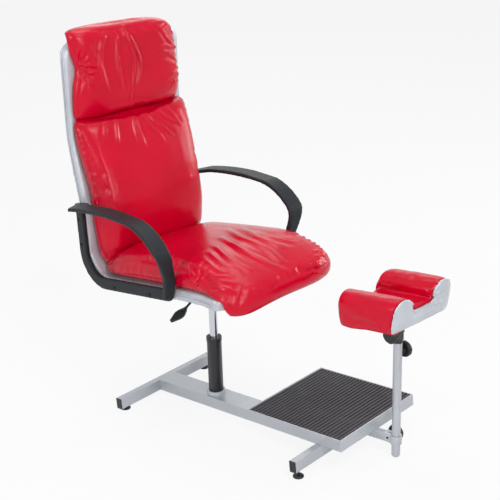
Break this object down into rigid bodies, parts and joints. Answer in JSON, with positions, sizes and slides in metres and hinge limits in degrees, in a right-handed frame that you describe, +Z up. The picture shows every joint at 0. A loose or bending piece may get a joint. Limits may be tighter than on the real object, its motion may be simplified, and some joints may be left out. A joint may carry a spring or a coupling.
{
  "type": "pedicure station",
  "caption": "Padded pedicure armchair on a swivelling gas lift column, with a steel floor base, a foot tray and a post with a saddle-shaped leg rest.",
  "frame": {"origin": "on the floor, in the middle of the part's plan box; the column stands a little to the right of it and behind it", "axes": "+Z up along the column, -Y towards the front where the leg rest stands, +X to the sitter's left"},
  "size_m": [0.6693, 1.2297, 1.2974],
  "materials": {
    "frame_steel": "satin silver powder coat",
    "black_steel": "satin black",
    "black_plastic": "fine grain",
    "arm_plastic": "satin, moulded",
    "mat_rubber": "matt, ribbed",
    "chrome": "polished",
    "bright_steel": "zinc plated",
    "dark_screws": "black oxide",
    "plywood": "raw plywood",
    "silver_vinyl": "smooth artificial leather over foam",
    "red_vinyl": "glossy artificial leather over foam"
  },
  "bodies": {
    "base": {"rear_crossbar": "frame_steel", "front_crossbar": "frame_steel", "spine_tube": "frame_steel", "tray_frame": "frame_steel", "tray_sheet": "frame_steel", "ribbed_mat": "mat_rubber", "crossbar_caps": "black_plastic", "foot_inserts": "bright_steel", "support_arm": "frame_steel", "post_clamp": "frame_steel", "column_hub": "frame_steel", "outer_tube": "black_steel", "guide_bush": "black_plastic", "thrust_bearing": "bright_steel"},
    "rear_right_foot": {"foot_rear_right": "black_plastic"},
    "rear_left_foot": {"foot_rear_left": "black_plastic"},
    "front_right_foot": {"foot_front_right": "black_plastic"},
    "front_left_foot": {"foot_front_left": "black_plastic"},
    "rod": {"piston_rod": "bright_steel", "rod_clip": "bright_steel"},
    "chair": {"gas_cylinder": "chrome", "mechanism_plate": "black_steel", "mechanism_box": "black_steel", "lever_pin": "bright_steel", "plate_bolts": "bright_steel", "t_nuts": "bright_steel", "shell_plywood": "plywood", "shell_cover": "silver_vinyl", "edge_piping": "silver_vinyl", "seat_cushion": "red_vinyl", "back_cushion": "red_vinyl", "head_cushion": "red_vinyl", "armrest_right": "arm_plastic", "armrest_left": "arm_plastic", "armrest_screws": "dark_screws", "armrest_inserts": "bright_steel"},
    "valve": {"valve_pin": "bright_steel"},
    "lever": {"height_lever": "black_steel", "lever_paddle": "black_plastic"},
    "post": {"post_tube": "frame_steel", "post_plug": "frame_steel", "post_bush": "black_plastic"},
    "clamp_knob": {"lower_knob": "black_plastic"},
    "stem_knob": {"upper_knob": "black_plastic"},
    "stem": {"stem": "chrome", "knuckle": "black_plastic"},
    "leg_rest": {"tilt_bracket": "black_steel", "cushion_board": "red_vinyl", "board_screws": "bright_steel", "tilt_nut": "bright_steel", "leg_cushion": "red_vinyl", "leg_cushion_ends": "silver_vinyl"},
    "tilt_knob": {"tilt_knob": "black_plastic"}
  },
  "joints": [
    {"name": "seat_swivel", "type": "hinge", "parent": "base", "child": "rod", "pos_m": [-0.01435, 0.14345, 0.25], "axis": [0, 0, 1], "continuous": true},
    {"name": "seat_lift", "type": "slide", "parent": "rod", "child": "chair", "axis": [0, 0, 1], "range_m": [-0.13, 0]},
    {"name": "lever_pivot", "type": "hinge", "parent": "chair", "child": "lever", "pos_m": [-0.04319, 0.13518, 0.4843], "axis": [-0.2756, 0.9613, 0], "range_deg": [0, 4], "stiffness_Nm_per_rad": 2, "springref_deg": -17.19},
    {"name": "valve_stroke", "type": "slide", "parent": "chair", "child": "valve", "axis": [0, 0, 1], "range_m": [-0.0025, 0]},
    {"name": "post_turn", "type": "hinge", "parent": "base", "child": "post", "pos_m": [0.13065, -0.50655, 0.05093], "axis": [0, 0, 1], "range_deg": [-90, 90]},
    {"name": "clamp_knob_turn", "type": "hinge", "parent": "base", "child": "clamp_knob", "pos_m": [0.13065, -0.48155, 0.06593], "axis": [1, 0, 0], "range_deg": [0, 360]},
    {"name": "stem_knob_turn", "type": "hinge", "parent": "post", "child": "stem_knob", "pos_m": [0.13065, -0.50655, 0.372], "axis": [1, 0, 0], "range_deg": [0, 360]},
    {"name": "stem_lift", "type": "slide", "parent": "post", "child": "stem", "axis": [0, 0, 1], "range_m": [0, 0.15]},
    {"name": "leg_rest_tilt", "type": "hinge", "parent": "stem", "child": "leg_rest", "pos_m": [0.13065, -0.50655, 0.445], "axis": [1, 0, 0], "range_deg": [-35, 25]},
    {"name": "tilt_knob_turn", "type": "hinge", "parent": "leg_rest", "child": "tilt_knob", "pos_m": [0.13065, -0.50655, 0.445], "axis": [-1, 0, 0], "range_deg": [0, 360]},
    {"name": "rear_right_foot_turn", "type": "hinge", "parent": "base", "child": "rear_right_foot", "pos_m": [-0.20885, 0.39795, 0], "axis": [0, 0, 1], "range_deg": [0, 360]},
    {"name": "rear_left_foot_turn", "type": "hinge", "parent": "base", "child": "rear_left_foot", "pos_m": [0.18015, 0.39795, 0], "axis": [0, 0, 1], "range_deg": [0, 360]},
    {"name": "front_right_foot_turn", "type": "hinge", "parent": "base", "child": "front_right_foot", "pos_m": [-0.15385, -0.34105, 0], "axis": [0, 0, 1], "range_deg": [0, 360]},
    {"name": "front_left_foot_turn", "type": "hinge", "parent": "base", "child": "front_left_foot", "pos_m": [0.23515, -0.34105, 0], "axis": [0, 0, 1], "range_deg": [0, 360]}
  ],
  "couplings": [
    {"joint": "valve_stroke", "follows": "lever_pivot", "m_per_rad": -0.03}
  ]
}
